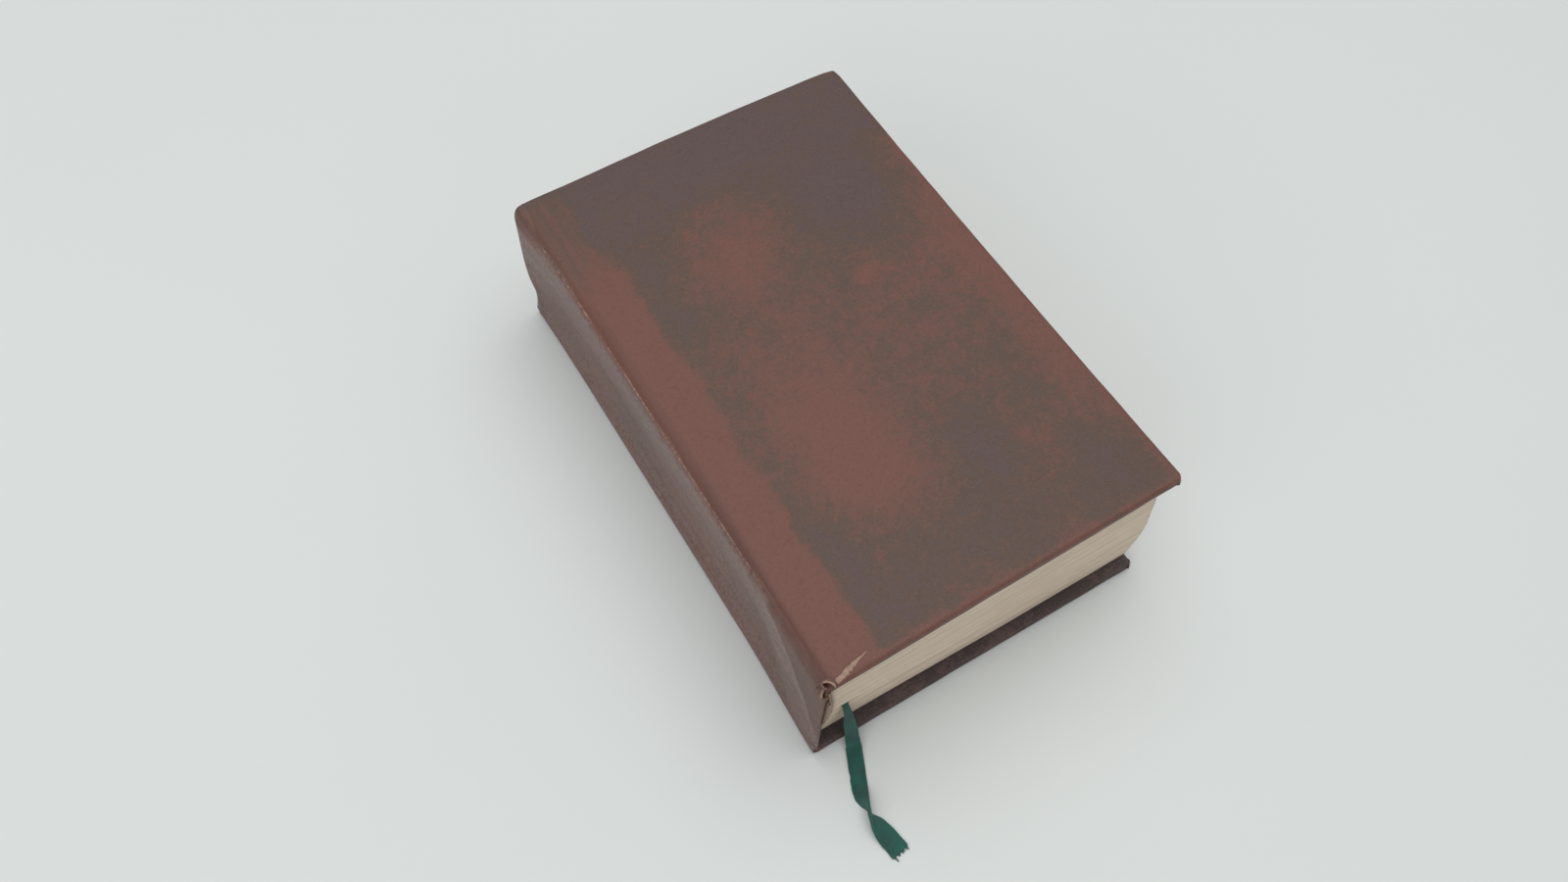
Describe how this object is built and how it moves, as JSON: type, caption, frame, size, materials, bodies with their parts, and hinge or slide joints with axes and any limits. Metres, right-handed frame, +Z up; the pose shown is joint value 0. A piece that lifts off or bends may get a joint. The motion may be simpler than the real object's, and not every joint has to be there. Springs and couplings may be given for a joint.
{
  "type": "hardback book",
  "caption": "Small thick closed book in full mottled leather over boards, spine caved in, plain page edges, covers that open and a loose ribbon marker.",
  "frame": {"origin": "centre of the closed book's footprint on the table, at the outer face of the back cover", "axes": "+Z up through the front cover, +Y from tail to head, +X from spine to fore-edge"},
  "size_m": [0.1206, 0.2165, 0.0576],
  "materials": {
    "leather": "worn, sponge-mottled dark brown over red-brown, dull sheen",
    "pages": "uncoated, cut edges, slightly yellowed",
    "endpaper": "plain uncoated paper",
    "lining": "brown lining paper",
    "board": "grey-brown binder's board",
    "mull": "open-weave glued cotton",
    "ribbon": "dark green woven ribbon, frayed at the end"
  },
  "bodies": {
    "block": {"text_block": "pages", "front_flyleaf": "endpaper", "back_flyleaf": "endpaper", "mull": "mull", "spine_lining": "lining", "spine_inlay": "board", "spine_leather": "leather", "ribbon_inside": "ribbon", "ribbon": "ribbon"},
    "front_cover": {"front_board": "board", "front_cover_leather": "leather", "front_mull_flange": "mull", "front_pastedown": "endpaper"},
    "back_cover": {"back_board": "board", "back_cover_leather": "leather", "back_mull_flange": "mull", "back_pastedown": "endpaper"}
  },
  "joints": [
    {"name": "front_hinge", "type": "hinge", "parent": "block", "child": "front_cover", "pos_m": [-0.06054, 0, 0.05095], "axis": [0, -1, 0], "range_deg": [0, 180]},
    {"name": "back_hinge", "type": "hinge", "parent": "block", "child": "back_cover", "pos_m": [-0.06054, 0, 0.00335], "axis": [0, 1, 0], "range_deg": [0, 180]}
  ]
}
